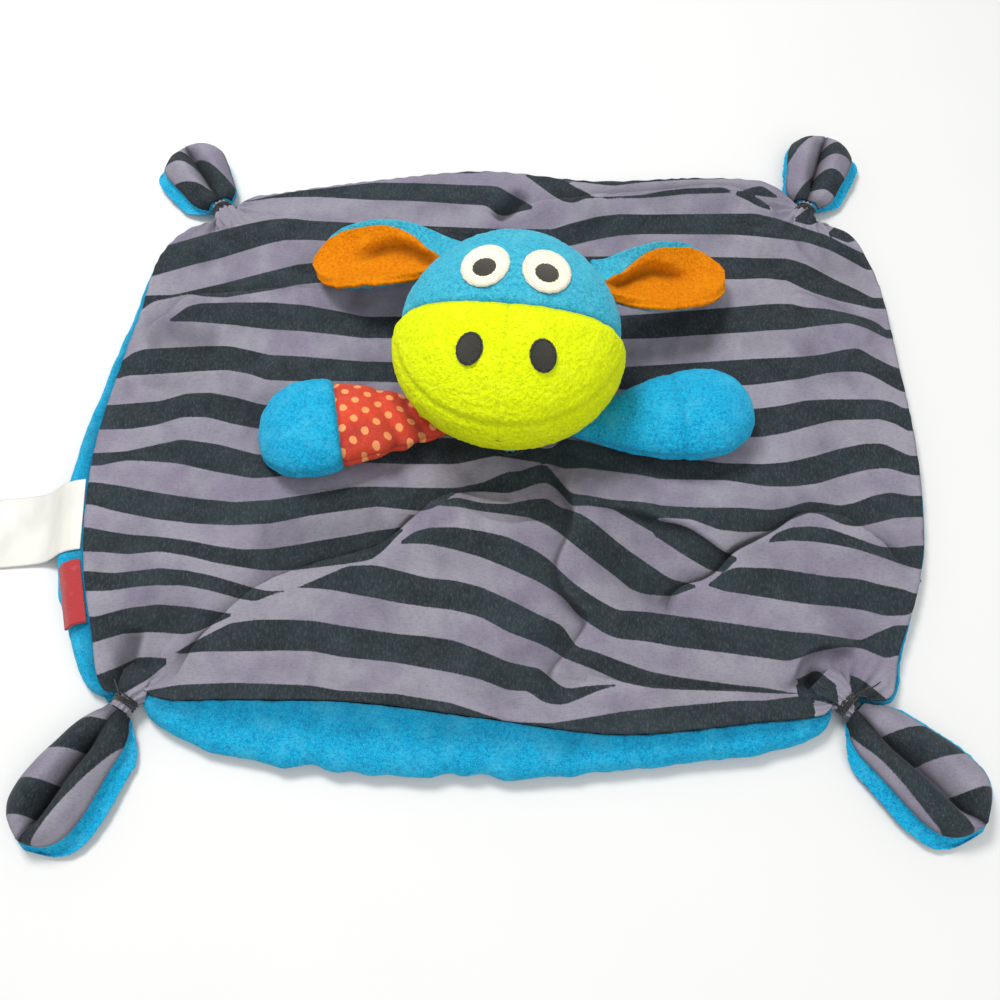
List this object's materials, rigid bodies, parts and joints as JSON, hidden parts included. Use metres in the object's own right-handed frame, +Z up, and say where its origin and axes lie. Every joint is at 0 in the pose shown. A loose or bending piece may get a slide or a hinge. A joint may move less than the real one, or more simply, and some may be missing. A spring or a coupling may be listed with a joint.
{
  "type": "comfort blanket lovey",
  "caption": "Baby comfort blanket: striped cotton backed with plush, gathered tied corners, and a stuffed animal head with ears and arms sewn to its middle.",
  "frame": {"origin": "on the surface the blanket lies on, straight under the stitch that holds the head", "axes": "+X to the right as seen from the front edge, +Y away from the front edge, +Z up out of the blanket"},
  "size_m": [0.3802, 0.3246, 0.0726],
  "materials": {
    "striped_cotton": "matte woven cotton with dark and purple stripes",
    "turquoise_plush": "short soft pile",
    "lime_plush": "short soft pile",
    "orange_plush": "short soft pile",
    "dotted_cotton": "matte woven cotton with small dots",
    "eye_felt": "flat felt with a satin stitched border",
    "dark_thread": "slightly shiny embroidery thread",
    "white_satin": "smooth satin ribbon",
    "red_ribbon": "woven ribbon",
    "fibre_filling": "loose polyester fibre"
  },
  "bodies": {
    "blanket": {"blanket_top_panel": "striped_cotton", "blanket_backing": "turquoise_plush", "tie_front_left": "dark_thread", "tie_front_right": "dark_thread", "tie_back_right": "dark_thread", "tie_back_left": "dark_thread"},
    "neck": {"neck": "turquoise_plush", "neck_stitch": "dark_thread"},
    "head": {"head_crown": "turquoise_plush", "head_back": "turquoise_plush", "muzzle_left": "lime_plush", "muzzle_right": "lime_plush", "muzzle_chin": "lime_plush", "head_stuffing": "fibre_filling", "eye_left": "eye_felt", "eye_right": "eye_felt", "pupil_left": "dark_thread", "pupil_right": "dark_thread", "nostril_left": "dark_thread", "nostril_right": "dark_thread"},
    "ear_left": {"ear_left_lining": "orange_plush", "ear_left_back": "turquoise_plush"},
    "ear_right": {"ear_right_lining": "orange_plush", "ear_right_back": "turquoise_plush"},
    "arm_left": {"arm_left_sleeve_top": "dotted_cotton", "arm_left_sleeve_underside": "dotted_cotton", "arm_left_paw_top": "turquoise_plush", "arm_left_paw_underside": "turquoise_plush", "arm_left_stuffing": "fibre_filling"},
    "arm_right": {"arm_right_upper_top": "turquoise_plush", "arm_right_upper_underside": "turquoise_plush", "arm_right_hand_top": "turquoise_plush", "arm_right_hand_underside": "turquoise_plush", "arm_right_stuffing": "fibre_filling"},
    "tuft_front_left": {"tuft_front_left_top": "striped_cotton", "tuft_front_left_back": "turquoise_plush"},
    "tuft_front_right": {"tuft_front_right_top": "striped_cotton", "tuft_front_right_back": "turquoise_plush"},
    "tuft_back_right": {"tuft_back_right_top": "striped_cotton", "tuft_back_right_back": "turquoise_plush"},
    "tuft_back_left": {"tuft_back_left_top": "striped_cotton", "tuft_back_left_back": "turquoise_plush"},
    "care_label": {"care_label": "white_satin"},
    "side_tab": {"side_tab": "red_ribbon"}
  },
  "joints": [
    {"name": "head_turn", "type": "hinge", "parent": "blanket", "child": "neck", "pos_m": [0.0008, 0.003, 0.011], "axis": [0, 0, 1], "range_deg": [-10, 10]},
    {"name": "head_lift", "type": "hinge", "parent": "neck", "child": "head", "pos_m": [0.0008, -0.0055, 0.011], "axis": [1, 0, 0], "range_deg": [0, 50]},
    {"name": "ear_left_lift", "type": "hinge", "parent": "head", "child": "ear_left", "pos_m": [-0.02422, 0.06875, 0.043], "axis": [0.8102, 0.5862, 0], "range_deg": [0, 60]},
    {"name": "ear_right_lift", "type": "hinge", "parent": "head", "child": "ear_right", "pos_m": [0.03706, 0.05824, 0.043], "axis": [0.5751, -0.8181, 0], "range_deg": [0, 60]},
    {"name": "arm_left_swing", "type": "hinge", "parent": "blanket", "child": "arm_left", "pos_m": [-0.017, 0.011, 0.011], "axis": [-0.0343, 0.2051, 0.9781], "range_deg": [0, 40]},
    {"name": "arm_right_swing", "type": "hinge", "parent": "blanket", "child": "arm_right", "pos_m": [0.017, 0.0015, 0.011], "axis": [0.0235, -0.2066, -0.9781], "range_deg": [0, 40]},
    {"name": "tuft_front_left_fold", "type": "hinge", "parent": "blanket", "child": "tuft_front_left", "pos_m": [-0.13981, -0.1117, 0.0066], "axis": [-0.866, 0.5, 0], "range_deg": [0, 75]},
    {"name": "tuft_front_right_fold", "type": "hinge", "parent": "blanket", "child": "tuft_front_right", "pos_m": [0.12529, -0.11165, 0.0066], "axis": [-0.7193, -0.6947, 0], "range_deg": [0, 75]},
    {"name": "tuft_back_right_fold", "type": "hinge", "parent": "blanket", "child": "tuft_back_right", "pos_m": [0.13546, 0.12946, 0.0066], "axis": [0.9455, -0.3256, 0], "range_deg": [0, 75]},
    {"name": "tuft_back_left_fold", "type": "hinge", "parent": "blanket", "child": "tuft_back_left", "pos_m": [-0.13091, 0.12959, 0.0066], "axis": [0.8572, 0.515, 0], "range_deg": [0, 75]},
    {"name": "care_label_flip", "type": "hinge", "parent": "blanket", "child": "care_label", "pos_m": [-0.16166, -0.03218, 0.01162], "axis": [-0.0928, 0.9957, 0], "range_deg": [0, 100]},
    {"name": "side_tab_flip", "type": "hinge", "parent": "blanket", "child": "side_tab", "pos_m": [-0.1563, -0.06388, 0.0119], "axis": [-0.2568, 0.9665, 0], "range_deg": [0, 80]}
  ]
}
